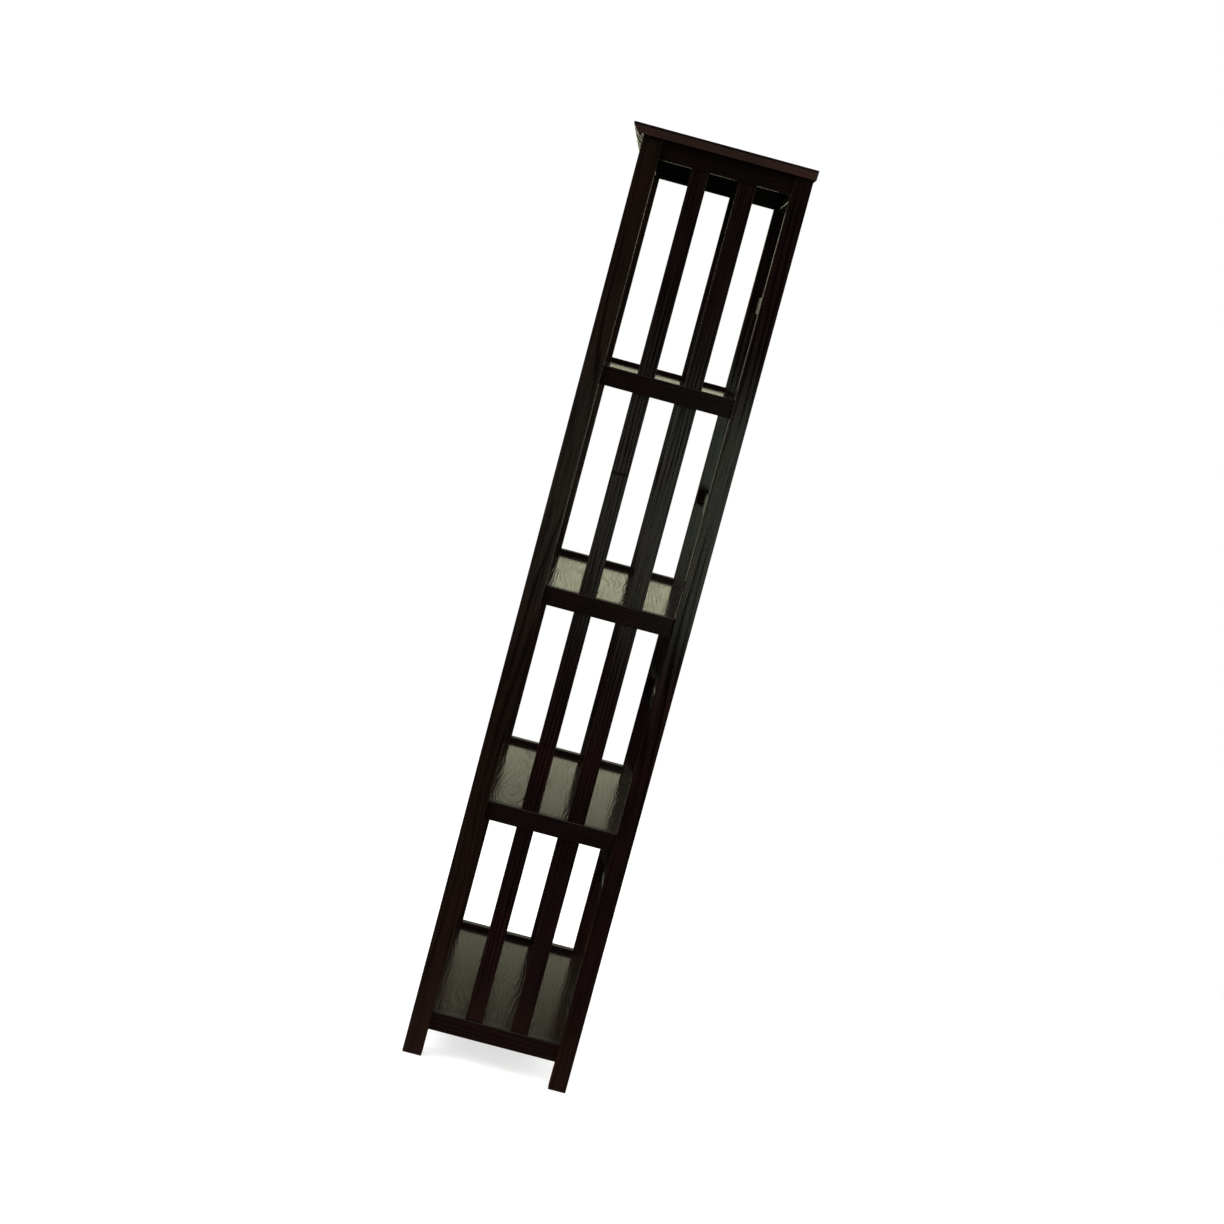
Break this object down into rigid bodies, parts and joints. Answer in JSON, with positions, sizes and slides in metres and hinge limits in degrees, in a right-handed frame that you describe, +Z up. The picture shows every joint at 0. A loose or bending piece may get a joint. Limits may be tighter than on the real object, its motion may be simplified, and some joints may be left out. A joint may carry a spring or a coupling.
{
  "type": "bookcase",
  "caption": "Tall open bookcase with slatted ends, fixed shelves set down between the end rails, rails across the open back and a flat top with a bevel under its edge.",
  "frame": {"origin": "on the floor, under the middle of the top board", "axes": "+X along the shelves from the left end to the right end, -Y out of the front, +Z up"},
  "size_m": [0.762, 0.353, 1.829],
  "materials": {
    "stained_oak": "very dark brown stain under satin lacquer, open grain",
    "beech_dowel": "plain fluted beech, unfinished",
    "zinc_plated_steel": "bright zinc plate"
  },
  "bodies": {
    "root": {"back_apron": "stained_oak", "bay1_back_rail": "stained_oak", "bay2_back_rail": "stained_oak", "bay3_back_rail": "stained_oak", "bay4_back_rail": "stained_oak", "bottom_shelf": "stained_oak", "front_apron": "stained_oak", "left_back_post": "stained_oak", "left_bay1_back_slat": "stained_oak", "left_bay1_front_slat": "stained_oak", "left_bay2_back_slat": "stained_oak", "left_bay2_front_slat": "stained_oak", "left_bay3_back_slat": "stained_oak", "left_bay3_front_slat": "stained_oak", "left_bay4_back_slat": "stained_oak", "left_bay4_front_slat": "stained_oak", "left_bottom_rail": "stained_oak", "left_front_post": "stained_oak", "left_lower_rail": "stained_oak", "left_middle_rail": "stained_oak", "left_top_rail": "stained_oak", "left_upper_rail": "stained_oak", "lower_shelf": "stained_oak", "middle_shelf": "stained_oak", "right_back_post": "stained_oak", "right_bay1_back_slat": "stained_oak", "right_bay1_front_slat": "stained_oak", "right_bay2_back_slat": "stained_oak", "right_bay2_front_slat": "stained_oak", "right_bay3_back_slat": "stained_oak", "right_bay3_front_slat": "stained_oak", "right_bay4_back_slat": "stained_oak", "right_bay4_front_slat": "stained_oak", "right_bottom_rail": "stained_oak", "right_front_post": "stained_oak", "right_lower_rail": "stained_oak", "right_middle_rail": "stained_oak", "right_top_rail": "stained_oak", "right_upper_rail": "stained_oak", "top_board": "stained_oak", "top_dowels": "beech_dowel", "top_screws": "zinc_plated_steel", "upper_shelf": "stained_oak"}
  },
  "joints": []
}
